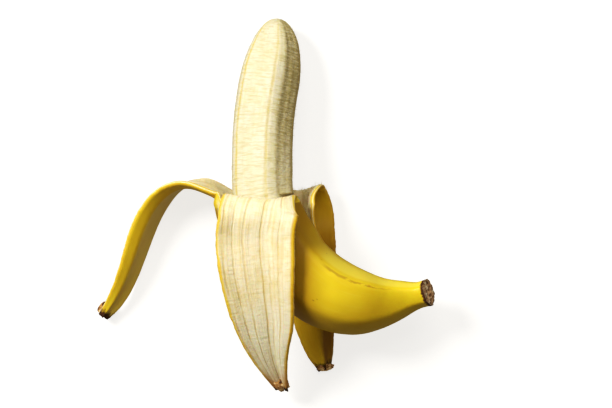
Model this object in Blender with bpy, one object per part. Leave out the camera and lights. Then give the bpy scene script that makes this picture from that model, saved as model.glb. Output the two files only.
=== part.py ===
"""A banana lying on its back, opened from the blossom end and half peeled.

Two solids. "peel" is one skin: a sleeve that still wraps the lower half and ends in the cut
stem, and three strips torn free above the collar. The front strip folds over the sleeve, the
left strip arches out sideways and stands on its edge, and the back strip loops over at the
right and runs back under the sleeve. "flesh" is the banana itself: it stands free above the
collar and runs on inside the sleeve towards the stem.

Lengths below are millimetres. +X is across the banana at the collar, +Y runs up the free flesh
and +Z is up from the table. Angles around the banana are degrees from its inner curve, so at
the collar 0 is +X and 90 is +Z.
"""

import math

import bpy
import numpy as np

MM = 0.001

# Centre line of the banana from the stem cut to the blossom end: x, y, z, outer radius of the
# peel. The last five points are the free flesh, whose radius has its own constants.
AXIS = (
    (80.4, -43.2, 26.0, 7.0),
    (75.5, -44.5, 24.0, 6.9),
    (68.0, -46.0, 21.9, 9.3),
    (60.0, -47.3, 21.3, 12.2),
    (49.6, -47.5, 22.2, 16.0),
    (38.9, -45.4, 23.8, 18.3),
    (26.0, -38.9, 25.3, 19.3),
    (14.2, -27.5, 26.2, 19.0),
    (4.8, -14.0, 26.5, 18.7),
    (-0.9, -1.0, 26.0, 18.4),
    (-2.5, 20.0, 23.5, 18.2),
    (-1.9, 40.0, 18.9, 18.0),
    (0.8, 60.5, 15.2, 18.0),
    (3.8, 79.5, 12.4, 18.0),
    (4.8, 93.4, 10.8, 18.0),
)
COLLAR_POINT = 9

PEEL_THICKNESS = 2.6
GAP = 0.75
RIDGES = (66.0, 127.0, 184.0, 250.0, 317.0)
RIDGE_SHARE = 0.55
RIDGE_BLUR = 5.0
STEM_CLOSED = 15.0
INNER_TAPER = 22.0

FLESH_RADIUS = 15.45
FLESH_COLLAR_RADIUS = 15.5
FLESH_TIP = 35.0
FLESH_RIDGES = (26.0, 84.0, 150.0, 207.0, 262.0, 322.0)
FLESH_RIDGE_SHARE = 0.6

# The three tears, as angles around the banana. The one between the back and front strips runs
# on past the collar by RIGHT_TEAR.
TEARS = (8.0, 157.0, 257.0, 368.0)
RIGHT_TEAR = 34.0
COLLAR_SKEW = 3.9
FLARE = 5.5
FLARE_LENGTH = 16.0
# The sleeve stands off a little along the right tear, and the back of its collar leans right.
LIP = 2.2
BACK_LEAN = 11.5
LEAN_WAY = (0.95, -0.05, -0.30)

# Each strip's middle line from the collar on: x, y, z, width, curl, and the direction across
# the strip in the sense of growing angle. A curl of 1 keeps the peel's own roundness and 0 is
# flat.
FRONT = (
    (-1.6, 1.6, 46.6, 41.2, 0.12, -1.0, 0.0, 0.0),
    (-4.2, -4.2, 50.2, 39.4, 0.08, -1.0, 0.0, 0.0),
    (-5.6, -15.0, 49.2, 39.4, 0.16, -1.0, 0.0, -0.02),
    (-5.0, -29.0, 47.2, 39.0, 0.22, -1.0, 0.0, -0.05),
    (-3.6, -43.0, 43.8, 36.0, 0.26, -1.0, 0.0, -0.07),
    (-1.5, -58.0, 37.4, 31.2, 0.30, -1.0, 0.0, -0.08),
    (0.3, -71.0, 29.2, 22.8, 0.36, -1.0, 0.0, -0.06),
    (3.7, -83.0, 19.8, 13.6, 0.40, -1.0, 0.0, 0.0),
    (7.3, -92.6, 12.0, 6.4, 0.40, -1.0, 0.0, 0.0),
)
LEFT = (
    (-24.6, 5.0, 14.9, 30.0, 0.50, 0.06, 0.18, -0.98),
    (-32.0, 8.7, 15.3, 29.0, 0.34, 0.04, 0.18, -0.98),
    (-41.0, 9.6, 14.6, 28.2, 0.34, 0.02, 0.0, -1.0),
    (-49.8, 4.8, 13.9, 27.4, 0.46, 0.14, -0.18, -0.97),
    (-57.2, -4.8, 13.2, 26.2, 0.60, 0.32, -0.16, -0.93),
    (-62.9, -17.5, 12.3, 24.4, 0.68, 0.38, -0.12, -0.91),
    (-67.6, -30.0, 11.2, 20.8, 0.72, 0.40, -0.14, -0.90),
    (-72.9, -41.5, 9.4, 15.4, 0.75, 0.42, -0.26, -0.87),
    (-78.6, -50.6, 7.4, 10.0, 0.80, 0.45, -0.38, -0.80),
    (-83.2, -56.0, 6.0, 6.0, 0.80, 0.45, -0.40, -0.80),
)
BACK = (
    (15.5, 6.4, 8.0, 27.6, 0.14, 0.97, 0.0, 0.22),
    (17.0, 0.8, 4.6, 29.2, 0.10, 0.98, 0.0, 0.16),
    (17.9, -13.0, 4.2, 31.8, 0.08, 0.985, 0.0, 0.14),
    (20.0, -30.0, 3.0, 29.4, 0.10, 1.0, 0.0, 0.07),
    (22.4, -48.0, 2.6, 24.2, 0.35, 1.0, 0.0, 0.0),
    (24.8, -63.0, 3.2, 19.6, 0.75, 1.0, 0.0, 0.0),
    (27.2, -75.0, 2.4, 13.8, 0.90, 1.0, 0.0, 0.0),
    (29.0, -83.2, 1.4, 6.5, 0.80, 1.0, 0.0, 0.0),
)
ROOT_BLEND = 8.0
STRIP_RADIUS = 17.1
STRIP_THICKNESS = 2.5
TIP_THICKNESS = 2.0

# How finely the solids are cut up: columns across the front, left and back strips, rows along
# the sleeve and along the strips, and the flesh's sides and rows.
COLUMNS = (12, 9, 11)
SLEEVE_ROWS = 22
STRIP_ROWS = 26
FLESH_SIDES = 30
FLESH_ROWS = 34


def curve(points, steps=1200):
    """A natural cubic spline through the points, as a table by arc length of columns 0 to 2."""
    p = np.array(points, float)
    d = np.concatenate(([0.0], np.cumsum(np.linalg.norm(np.diff(p[:, :3], axis=0), axis=1))))
    n = len(p)
    h = np.diff(d)
    a = np.eye(n)
    b = np.zeros_like(p)
    for i in range(1, n - 1):
        a[i, i - 1 : i + 2] = (h[i - 1], 2 * (h[i - 1] + h[i]), h[i])
        b[i] = 6 * ((p[i + 1] - p[i]) / h[i] - (p[i] - p[i - 1]) / h[i - 1])
    m = np.linalg.solve(a, b)
    t = np.linspace(0, d[-1], steps)
    k = np.clip(np.searchsorted(d, t, side="right") - 1, 0, n - 2)
    hk = h[k][:, None]
    u0 = (t - d[k])[:, None]
    u1 = hk - u0
    q = (m[k] * u1**3 + m[k + 1] * u0**3) / (6 * hk)
    q += (p[k] / hk - m[k] * hk / 6) * u1 + (p[k + 1] / hk - m[k + 1] * hk / 6) * u0
    s = np.concatenate(([0.0], np.cumsum(np.linalg.norm(np.diff(q[:, :3], axis=0), axis=1))))
    knots = np.interp(d, t, s)
    return s, q, knots


def at(table, s):
    """The table's columns and its unit tangent at arc length s."""
    value = np.array([np.interp(s, table[0], c) for c in table[1].T])
    ahead = np.array([np.interp(s + 0.4, table[0], c) for c in table[1].T[:3]])
    behind = np.array([np.interp(s - 0.4, table[0], c) for c in table[1].T[:3]])
    tangent = ahead - behind
    return value, tangent / np.linalg.norm(tangent)


def ease(x):
    """0 below 0, 1 above 1, and a smooth step between."""
    x = min(1.0, max(0.0, x))
    return x * x * (3 - 2 * x)


def ridged(ridges, share, blur):
    """The relative radius around a rounded polygon with these corners, at every degree."""
    degrees = np.arange(360.0)
    corners = list(ridges) + [ridges[0] + 360.0]
    relative = np.ones(360)
    for first, last in zip(corners[:-1], corners[1:]):
        middle = (first + last) / 2
        half = (last - first) / 2
        off = (degrees - middle + 180) % 360 - 180
        side = np.abs(off) <= half
        flat = math.cos(math.radians(half)) / np.cos(np.radians(off[side]))
        relative[side] = 1 - share * (1 - flat)
    wave = np.fft.rfft(relative)
    wave *= np.exp(-0.5 * (np.radians(blur) * np.arange(len(wave))) ** 2)
    soft = np.fft.irfft(wave, 360)
    return soft / soft.mean()


def around(profile, angle):
    """The profile at an angle."""
    return float(np.interp(angle % 360, np.arange(361), np.append(profile, profile[0])))


PEEL_PROFILE = ridged(RIDGES, RIDGE_SHARE, RIDGE_BLUR)
FLESH_PROFILE = ridged(FLESH_RIDGES, FLESH_RIDGE_SHARE, RIDGE_BLUR)
AXIS_TABLE = curve(AXIS)
COLLAR = float(AXIS_TABLE[2][COLLAR_POINT])
FULL = float(AXIS_TABLE[0][-1])


def frame_at(s):
    """Centre, outer radius, the direction of angle 0 and that of angle 90 on the centre line."""
    value, tangent = at(AXIS_TABLE, s)
    side = np.cross(tangent, (0.0, 0.0, 1.0))
    side /= np.linalg.norm(side)
    return value[:3], value[3], side, np.cross(side, tangent)


def inner_radius(s, angle, radius):
    """Radius of the sleeve's inside, which closes towards the stem."""
    closing = min(1.0, max(0.0, (s - STEM_CLOSED) / INNER_TAPER))
    full = radius * around(PEEL_PROFILE, angle) - PEEL_THICKNESS
    return max(0.35, full * math.sqrt(1 - (1 - closing) ** 2))


def opened(s, angle):
    """How far the opened collar stands out from the closed banana's radius."""
    near = ease((s - COLLAR + FLARE_LENGTH) / FLARE_LENGTH) ** 1.4
    left = math.exp(-(((angle - 172) / 48) ** 2))
    lip = ease((s - COLLAR + RIGHT_TEAR) / 12) * math.exp(-(((angle - TEARS[0]) / 26) ** 2))
    return FLARE * near * left + LIP * lip


def leaned(s, angle):
    """How far the back strip already leans out between the end of its tear and the collar."""
    near = max(0.0, min(1.0, (s - COLLAR + RIGHT_TEAR) / RIGHT_TEAR))
    across = max(0.0, (angle - TEARS[2]) / (TEARS[3] - TEARS[2]))
    return BACK_LEAN * near**1.2 * across**1.2


def sleeve(s, angle, strip, inside):
    """A point on the sleeve's outside or inside. Near the collar the rows lean to lie level."""
    near = ease((s - COLLAR + 30) / 30)
    s = s - COLLAR_SKEW * math.cos(math.radians(angle)) * near
    centre, radius, side, up = frame_at(s)
    reach = inner_radius(s, angle, radius) if inside else radius * around(PEEL_PROFILE, angle)
    reach += opened(s, angle)
    turn = math.radians(angle)
    out = side * math.cos(turn) + up * math.sin(turn)
    point = centre + out * reach
    if strip == 2:
        point = point + leaned(s, angle) * np.array(LEAN_WAY)
    return point


def frame_of(tangent, across):
    """The strip's own axes: across, towards its inside, and along."""
    across = across - tangent * np.dot(across, tangent)
    across = across / np.linalg.norm(across)
    return np.column_stack((across, np.cross(across, tangent), tangent))


def strip_table(strip, way):
    """The strip's middle line, starting with two points on the sleeve below the collar."""
    low, high = TEARS[strip], TEARS[strip + 1]
    middle = (low + high) / 2
    start = []
    for back in (6.0, 0.0):
        s = COLLAR - back
        both = [sleeve(s, middle, strip, inside) for inside in (False, True)]
        across = sleeve(s, high - 1, strip, False) - sleeve(s, low + 1, strip, False)
        across /= np.linalg.norm(across)
        width = math.radians(high - low) * STRIP_RADIUS
        start.append((*((both[0] + both[1]) / 2), width, 0.9, *across))
    table = curve(start + list(way))
    return table, float(table[2][1])


STRIPS = [strip_table(k, way) for k, way in enumerate((FRONT, LEFT, BACK))]


def strip_length(strip):
    """The length of a strip from the collar to its tip."""
    table, start = STRIPS[strip]
    return float(table[0][-1]) - start


def ideal(strip, value, angle, inside, share):
    """A point of the strip's section in its own axes, with the section's arc rebuilt."""
    low, high = TEARS[strip], TEARS[strip + 1]
    width, curl = value[3], max(0.02, value[4])
    reach = (angle - (low + high) / 2) / (high - low) * width
    turn = reach * curl / STRIP_RADIUS
    radius = STRIP_RADIUS / curl
    thick = STRIP_THICKNESS + (TIP_THICKNESS - STRIP_THICKNESS) * ease((share - 0.5) * 2)
    bump = STRIP_RADIUS * (around(PEEL_PROFILE, angle) - 1) * min(1.0, 0.3 + curl)
    off = bump + (-thick / 2 if inside else thick / 2)
    x = math.sin(turn) * (radius + off)
    y = radius - math.cos(turn) * (radius + off)
    return np.array((x, y, 0.0))


def torn(strip, along, angle, inside):
    """A point on a torn strip, along it from the collar."""
    table, start = STRIPS[strip]
    first, heading = at(table, start)
    root = frame_of(heading, first[5:8])
    both = [root.T @ (sleeve(COLLAR, angle, strip, k) - first[:3]) for k in (False, True)]
    middle = (both[0] + both[1]) / 2
    value, tangent = at(table, start + along)
    share = along / strip_length(strip)
    blend = ease(along / ROOT_BLEND)
    turned = frame_of(tangent, value[5:8])
    kept = root @ middle + turned @ (both[inside] - middle)
    made = turned @ ideal(strip, value, angle, inside, share)
    return value[:3] + kept * (1 - blend) + made * blend


def flesh_point(s, angle):
    """A point on the flesh."""
    centre, radius, side, up = frame_at(s)
    left = FULL - s
    free = FLESH_COLLAR_RADIUS + (FLESH_RADIUS - FLESH_COLLAR_RADIUS) * ease((s - COLLAR) / 30)
    free *= around(FLESH_PROFILE, angle)
    kept = inner_radius(s, angle, radius) - GAP
    if s > COLLAR - 14:
        kept = min(kept, free) if s < COLLAR + 4 else free
    if left < FLESH_TIP:
        kept *= math.sqrt(max(0.0, 1 - (1 - left / FLESH_TIP) ** 2))
    turn = math.radians(angle)
    return centre + (side * math.cos(turn) + up * math.sin(turn)) * max(0.3, kept)


def peel_mesh():
    """Vertices and faces of the peel."""
    points, faces, index = [], [], {}
    angles = []
    for k, count in enumerate(COLUMNS):
        angles.append(np.linspace(TEARS[k], TEARS[k + 1], count + 1))
    stem = np.linspace(0, 1, 9)[:-1] * 30.0
    body = np.linspace(30.0, COLLAR, SLEEVE_ROWS - len(stem) + 1)
    rows = [("sleeve", s) for s in np.concatenate((stem, body))]
    tear_row = min(range(len(rows)), key=lambda i: abs(rows[i][1] - COLLAR + RIGHT_TEAR))
    collar_row = len(rows) - 1
    rows += [("strip", x) for x in (np.arange(1, STRIP_ROWS + 1) / STRIP_ROWS) ** 1.35]
    open_from = (tear_row, collar_row, collar_row)
    inner_first = next(i for i, r in enumerate(rows) if r[1] > STEM_CLOSED)

    def vertex(inside, row, strip, col):
        if col == COLUMNS[strip] and row <= open_from[(strip + 1) % 3]:
            strip, col = (strip + 1) % 3, 0
        key = (inside, row, strip, col)
        if key not in index:
            kind, place = rows[row]
            angle = angles[strip][col]
            if kind == "sleeve":
                point = sleeve(place, angle, strip, inside)
            else:
                point = torn(strip, place * strip_length(strip), angle, inside)
            index[key] = len(points)
            points.append((point[0], point[1], max(0.0, point[2])))
        return index[key]

    for inside in (False, True):
        for row in range(inner_first if inside else 0, len(rows) - 1):
            for strip in range(3):
                for col in range(COLUMNS[strip]):
                    corners = [
                        vertex(inside, row, strip, col),
                        vertex(inside, row, strip, col + 1),
                        vertex(inside, row + 1, strip, col + 1),
                        vertex(inside, row + 1, strip, col),
                    ]
                    faces.append(corners if inside else corners[::-1])
    last = len(rows) - 1
    for strip in range(3):
        end = COLUMNS[strip]
        for row in range(open_from[strip], last):
            outer = [vertex(False, row, strip, 0), vertex(False, row + 1, strip, 0)]
            inner = [vertex(True, row, strip, 0), vertex(True, row + 1, strip, 0)]
            faces.append([inner[0], inner[1], outer[1], outer[0]])
        for row in range(open_from[(strip + 1) % 3], last):
            outer = [vertex(False, row, strip, end), vertex(False, row + 1, strip, end)]
            inner = [vertex(True, row, strip, end), vertex(True, row + 1, strip, end)]
            faces.append([inner[1], inner[0], outer[0], outer[1]])
        for col in range(end):
            outer = [vertex(False, last, strip, col), vertex(False, last, strip, col + 1)]
            inner = [vertex(True, last, strip, col), vertex(True, last, strip, col + 1)]
            faces.append([inner[0], inner[1], outer[1], outer[0]])
    for inside, row in ((False, 0), (True, inner_first)):
        ring = [vertex(inside, row, k, c) for k in range(3) for c in range(COLUMNS[k])]
        centre = np.mean([points[i] for i in ring], axis=0)
        points.append(tuple(centre))
        hub = len(points) - 1
        for a, b in zip(ring, ring[1:] + ring[:1]):
            faces.append([b, a, hub] if inside else [a, b, hub])
    return points, faces


def flesh_mesh():
    """Vertices and faces of the flesh."""
    first = STEM_CLOSED + 5.5
    inner = first + np.linspace(0, 1, 5)[:-1] ** 1.5 * 14
    body = np.linspace(first + 14, FULL - FLESH_TIP, FLESH_ROWS - 14)
    tip = FULL - FLESH_TIP + FLESH_TIP * np.sin(np.linspace(0, math.pi / 2, 11))[1:-1]
    rows = np.concatenate((inner, body, tip))
    angles = np.linspace(0, 360, FLESH_SIDES + 1)[:-1]
    points, faces = [], []
    for s in rows:
        for angle in angles:
            x, y, z = flesh_point(s, angle)
            points.append((x, y, max(0.0, z)))
    count = FLESH_SIDES
    for i in range(len(rows) - 1):
        for j in range(count):
            k = (j + 1) % count
            faces.append([(i + 1) * count + j, (i + 1) * count + k, i * count + k, i * count + j])
    points.append(tuple(np.mean(points[:count], axis=0)))
    hub = len(points) - 1
    faces += [[j, (j + 1) % count, hub] for j in range(count)]
    points.append(tuple(frame_at(FULL)[0]))
    peak = len(points) - 1
    base = (len(rows) - 1) * count
    faces += [[base + (j + 1) % count, base + j, peak] for j in range(count)]
    return points, faces


def material(name, colour, roughness):
    """A plain surface of one colour."""
    made = bpy.data.materials.new(name)
    made.use_nodes = True
    surface = made.node_tree.nodes["Principled BSDF"]
    surface.inputs["Base Color"].default_value = (*colour, 1)
    surface.inputs["Roughness"].default_value = roughness
    surface.inputs["Metallic"].default_value = 0.0
    return made


def add(name, mesh_data, shift, surface):
    """A named object from vertices in millimetres, moved so that the origin is under the middle."""
    points, faces = mesh_data
    mesh = bpy.data.meshes.new(name)
    mesh.from_pydata([tuple((np.array(p) - shift) * MM) for p in points], [], faces)
    mesh.validate()
    mesh.materials.append(surface)
    mesh.shade_smooth()
    made = bpy.data.objects.new(name, mesh)
    bpy.context.scene.collection.objects.link(made)
    return made


def main():
    """Clear the scene and make the two solids."""
    for old in list(bpy.data.objects):
        bpy.data.objects.remove(old, do_unlink=True)
    peel = peel_mesh()
    flesh = flesh_mesh()
    every = np.array(peel[0] + flesh[0])
    shift = (every.min(axis=0) + every.max(axis=0)) / 2
    shift[2] = every[:, 2].min()
    add("peel", peel, shift, material("peel_skin", (0.72, 0.47, 0.02), 0.42))
    add("flesh", flesh, shift, material("banana_flesh", (0.88, 0.78, 0.52), 0.55))


main()
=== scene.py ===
"""Looks for the half-peeled banana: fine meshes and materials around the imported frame.

The peel and the flesh follow the same centre lines as the CAD solids, with finer rows, torn
edges, seams and ribs. Lengths are millimetres until a mesh is made. +X is across, +Y runs up the
free flesh and +Z is up. Angles around the banana are degrees from its inner curve.
"""

import math

import bmesh
import bpy
import numpy as np
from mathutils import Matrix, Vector, noise


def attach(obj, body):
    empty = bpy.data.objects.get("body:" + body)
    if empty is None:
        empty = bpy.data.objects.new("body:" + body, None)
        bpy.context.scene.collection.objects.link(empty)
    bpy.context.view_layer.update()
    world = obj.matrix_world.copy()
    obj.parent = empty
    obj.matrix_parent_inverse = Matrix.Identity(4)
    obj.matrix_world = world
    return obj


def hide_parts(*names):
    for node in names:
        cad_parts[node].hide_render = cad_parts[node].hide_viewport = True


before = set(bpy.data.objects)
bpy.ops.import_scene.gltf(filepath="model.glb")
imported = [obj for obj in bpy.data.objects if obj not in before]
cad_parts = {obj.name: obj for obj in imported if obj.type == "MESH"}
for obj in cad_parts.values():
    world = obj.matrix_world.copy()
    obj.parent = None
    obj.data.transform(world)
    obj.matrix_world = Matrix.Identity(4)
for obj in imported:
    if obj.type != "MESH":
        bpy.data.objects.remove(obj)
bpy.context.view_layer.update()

MM = 0.001
# The middle of the CAD box in the centre line's own coordinates.
SHIFT = np.array((-0.738, -0.224, 0.0))

# Centre line from the stem cut to the blossom end: x, y, z, outer radius of the peel.
AXIS = (
    (80.4, -43.2, 26.0, 7.0),
    (75.5, -44.5, 24.0, 6.9),
    (68.0, -46.0, 21.9, 9.3),
    (60.0, -47.3, 21.3, 12.2),
    (49.6, -47.5, 22.2, 16.0),
    (38.9, -45.4, 23.8, 18.3),
    (26.0, -38.9, 25.3, 19.3),
    (14.2, -27.5, 26.2, 19.0),
    (4.8, -14.0, 26.5, 18.7),
    (-0.9, -1.0, 26.0, 18.4),
    (-2.5, 20.0, 23.5, 18.2),
    (-1.9, 40.0, 18.9, 18.0),
    (0.8, 60.5, 15.2, 18.0),
    (3.8, 79.5, 12.4, 18.0),
    (4.8, 93.4, 10.8, 18.0),
)
COLLAR_POINT = 9

PEEL_THICKNESS = 2.6
GAP = 0.75
RIDGES = (66.0, 127.0, 184.0, 250.0, 317.0)
RIDGE_SHARE = 0.55
RIDGE_BLUR = 5.0
STEM_CLOSED = 15.0
INNER_TAPER = 22.0

FLESH_RADIUS = 15.45
FLESH_COLLAR_RADIUS = 15.5
FLESH_TIP = 35.0
FLESH_RIDGES = (26.0, 84.0, 150.0, 207.0, 262.0, 322.0)
FLESH_SEAMS = (26.0, 84.0, 145.0, 207.0, 262.0, 322.0)
FLESH_RIDGE_SHARE = 0.6

TEARS = (8.0, 157.0, 257.0, 368.0)
RIGHT_TEAR = 34.0
COLLAR_SKEW = 3.9
FLARE = 5.5
FLARE_LENGTH = 16.0
# The sleeve stands off a little along the right tear, and the back of its collar leans right.
LIP = 2.2
BACK_LEAN = 11.5
LEAN_WAY = (0.95, -0.05, -0.30)

# Each strip's middle line from the collar on: x, y, z, width, curl, and the direction across
# the strip in the sense of growing angle.
FRONT = (
    (-1.6, 1.6, 46.6, 41.2, 0.12, -1.0, 0.0, 0.0),
    (-4.2, -4.2, 50.2, 39.4, 0.08, -1.0, 0.0, 0.0),
    (-5.6, -15.0, 49.2, 39.4, 0.16, -1.0, 0.0, -0.02),
    (-5.0, -29.0, 47.2, 39.0, 0.22, -1.0, 0.0, -0.05),
    (-3.6, -43.0, 43.8, 36.0, 0.26, -1.0, 0.0, -0.07),
    (-1.5, -58.0, 37.4, 31.2, 0.30, -1.0, 0.0, -0.08),
    (0.3, -71.0, 29.2, 22.8, 0.36, -1.0, 0.0, -0.06),
    (3.7, -83.0, 19.8, 13.6, 0.40, -1.0, 0.0, 0.0),
    (7.3, -92.6, 12.0, 6.4, 0.40, -1.0, 0.0, 0.0),
)
LEFT = (
    (-24.6, 5.0, 14.9, 30.0, 0.50, 0.06, 0.18, -0.98),
    (-32.0, 8.7, 15.3, 29.0, 0.34, 0.04, 0.18, -0.98),
    (-41.0, 9.6, 14.6, 28.2, 0.34, 0.02, 0.0, -1.0),
    (-49.8, 4.8, 13.9, 27.4, 0.46, 0.14, -0.18, -0.97),
    (-57.2, -4.8, 13.2, 26.2, 0.60, 0.32, -0.16, -0.93),
    (-62.9, -17.5, 12.3, 24.4, 0.68, 0.38, -0.12, -0.91),
    (-67.6, -30.0, 11.2, 20.8, 0.72, 0.40, -0.14, -0.90),
    (-72.9, -41.5, 9.4, 15.4, 0.75, 0.42, -0.26, -0.87),
    (-78.6, -50.6, 7.4, 10.0, 0.80, 0.45, -0.38, -0.80),
    (-83.2, -56.0, 6.0, 6.0, 0.80, 0.45, -0.40, -0.80),
)
BACK = (
    (15.5, 6.4, 8.0, 27.6, 0.14, 0.97, 0.0, 0.22),
    (17.0, 0.8, 4.6, 29.2, 0.10, 0.98, 0.0, 0.16),
    (17.9, -13.0, 4.2, 31.8, 0.08, 0.985, 0.0, 0.14),
    (20.0, -30.0, 3.0, 29.4, 0.10, 1.0, 0.0, 0.07),
    (22.4, -48.0, 2.6, 24.2, 0.35, 1.0, 0.0, 0.0),
    (24.8, -63.0, 3.2, 19.6, 0.75, 1.0, 0.0, 0.0),
    (27.2, -75.0, 2.4, 13.8, 0.90, 1.0, 0.0, 0.0),
    (29.0, -83.2, 1.4, 6.5, 0.80, 1.0, 0.0, 0.0),
)
ROOT_BLEND = 8.0
# How far the corners of each strip droop at its fold. Only the front strip's do.
FOLD_SAG = (3.2, 0.0, 0.0)
STRIP_RADIUS = 17.1
STRIP_THICKNESS = 2.5
TIP_THICKNESS = 2.0

# Fineness of the visual meshes.
COLUMNS = (46, 34, 40)
SLEEVE_ROWS = 90
STRIP_ROWS = 150
CAP_RINGS = (0.9, 0.78, 0.64, 0.5, 0.36, 0.22, 0.1)
FLESH_SIDES = 168
FLESH_ROWS = 300

SEED = 7
# The camera's height, and the height at which the view is VIEW_WIDTH wide, in metres.
CAMERA_HEIGHT = 2.5
CAMERA_FOCUS = 0.022
VIEW_WIDTH = 0.306


def curve(points, steps=1200):
    """A natural cubic spline through the points, as a table by arc length."""
    p = np.array(points, float)
    d = np.concatenate(([0.0], np.cumsum(np.linalg.norm(np.diff(p[:, :3], axis=0), axis=1))))
    n = len(p)
    h = np.diff(d)
    a = np.eye(n)
    b = np.zeros_like(p)
    for i in range(1, n - 1):
        a[i, i - 1 : i + 2] = (h[i - 1], 2 * (h[i - 1] + h[i]), h[i])
        b[i] = 6 * ((p[i + 1] - p[i]) / h[i] - (p[i] - p[i - 1]) / h[i - 1])
    m = np.linalg.solve(a, b)
    t = np.linspace(0, d[-1], steps)
    k = np.clip(np.searchsorted(d, t, side="right") - 1, 0, n - 2)
    hk = h[k][:, None]
    u0 = (t - d[k])[:, None]
    u1 = hk - u0
    q = (m[k] * u1**3 + m[k + 1] * u0**3) / (6 * hk)
    q += (p[k] / hk - m[k] * hk / 6) * u1 + (p[k + 1] / hk - m[k + 1] * hk / 6) * u0
    s = np.concatenate(([0.0], np.cumsum(np.linalg.norm(np.diff(q[:, :3], axis=0), axis=1))))
    return s, q, np.interp(d, t, s)


def unit(v):
    """Rows of unit length."""
    return v / np.linalg.norm(v, axis=-1, keepdims=True)


def at(table, s):
    """The table's columns and unit tangents at arc lengths s."""
    value = np.stack([np.interp(s, table[0], c) for c in table[1].T], axis=-1)
    ahead = np.stack([np.interp(s + 0.4, table[0], c) for c in table[1].T[:3]], axis=-1)
    behind = np.stack([np.interp(s - 0.4, table[0], c) for c in table[1].T[:3]], axis=-1)
    return value, unit(ahead - behind)


def ease(x):
    """0 below 0, 1 above 1, and a smooth step between."""
    x = np.clip(x, 0.0, 1.0)
    return x * x * (3 - 2 * x)


def ridged(ridges, share, blur):
    """The relative radius around a rounded polygon with these corners, at every degree."""
    degrees = np.arange(360.0)
    corners = list(ridges) + [ridges[0] + 360.0]
    relative = np.ones(360)
    for first, last in zip(corners[:-1], corners[1:]):
        half = (last - first) / 2
        off = (degrees - (first + last) / 2 + 180) % 360 - 180
        side = np.abs(off) <= half
        flat = math.cos(math.radians(half)) / np.cos(np.radians(off[side]))
        relative[side] = 1 - share * (1 - flat)
    wave = np.fft.rfft(relative)
    wave *= np.exp(-0.5 * (np.radians(blur) * np.arange(len(wave))) ** 2)
    soft = np.fft.irfft(wave, 360)
    return soft / soft.mean()


def around(profile, angle):
    """The profile at each angle."""
    return np.interp(np.mod(angle, 360), np.arange(361), np.append(profile, profile[0]))


PEEL_PROFILE = ridged(RIDGES, RIDGE_SHARE, RIDGE_BLUR)
FLESH_PROFILE = ridged(FLESH_RIDGES, FLESH_RIDGE_SHARE, RIDGE_BLUR)
AXIS_TABLE = curve(AXIS)
COLLAR = float(AXIS_TABLE[2][COLLAR_POINT])
FULL = float(AXIS_TABLE[0][-1])


def frame_at(s):
    """Centre, outer radius, the direction of angle 0 and that of angle 90."""
    value, tangent = at(AXIS_TABLE, s)
    side = unit(np.cross(tangent, (0.0, 0.0, 1.0)))
    return value[:, :3], value[:, 3], side, np.cross(side, tangent)


def inner_radius(s, angle, radius):
    """Radius of the sleeve's inside, which closes towards the stem."""
    closing = np.clip((s - STEM_CLOSED) / INNER_TAPER, 0.0, 1.0)
    full = radius * around(PEEL_PROFILE, angle) - PEEL_THICKNESS
    return np.maximum(0.35, full * np.sqrt(1 - (1 - closing) ** 2))


def sleeve(s, angle, strip, inside):
    """Points on the sleeve's outside or inside."""
    near = ease((s - COLLAR + 30) / 30)
    s = s - COLLAR_SKEW * np.cos(np.radians(angle)) * near
    centre, radius, side, up = frame_at(s)
    reach = radius * around(PEEL_PROFILE, angle)
    if inside:
        reach = inner_radius(s, angle, radius)
    flare = ease((s - COLLAR + FLARE_LENGTH) / FLARE_LENGTH) ** 1.4
    reach = reach + FLARE * flare * np.exp(-(((angle - 172) / 48) ** 2))
    lip = ease((s - COLLAR + RIGHT_TEAR) / 12) * np.exp(-(((angle - TEARS[0]) / 26) ** 2))
    reach = reach + LIP * lip
    turn = np.radians(angle)[:, None]
    point = centre + (side * np.cos(turn) + up * np.sin(turn)) * reach[:, None]
    if strip == 2:
        lean = np.clip((s - COLLAR + RIGHT_TEAR) / RIGHT_TEAR, 0.0, 1.0) ** 1.2
        lean = lean * np.clip((angle - TEARS[2]) / (TEARS[3] - TEARS[2]), 0.0, None) ** 1.2
        point = point + np.array(LEAN_WAY) * (BACK_LEAN * lean)[:, None]
    return point


def frames_of(tangent, across):
    """The strip's own axes as matrix columns: across, towards its inside, and along."""
    across = unit(across - tangent * np.sum(across * tangent, axis=1, keepdims=True))
    return np.stack((across, np.cross(across, tangent), tangent), axis=-1)


def strip_table(strip, way):
    """The strip's middle line, starting with two points on the sleeve below the collar."""
    low, high = TEARS[strip], TEARS[strip + 1]
    start = []
    for back in (6.0, 0.0):
        s = np.array((COLLAR - back,) * 3)
        spread = np.array(((low + high) / 2, high - 1, low + 1))
        outer = sleeve(s, spread, strip, False)
        inner = sleeve(s, spread, strip, True)
        across = unit(outer[1] - outer[2])
        width = math.radians(high - low) * STRIP_RADIUS
        start.append((*((outer[0] + inner[0]) / 2), width, 0.9, *across))
    table = curve(start + list(way))
    return table, float(table[2][1])


STRIPS = [strip_table(k, way) for k, way in enumerate((FRONT, LEFT, BACK))]
LENGTHS = [float(table[0][-1]) - start for table, start in STRIPS]


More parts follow.
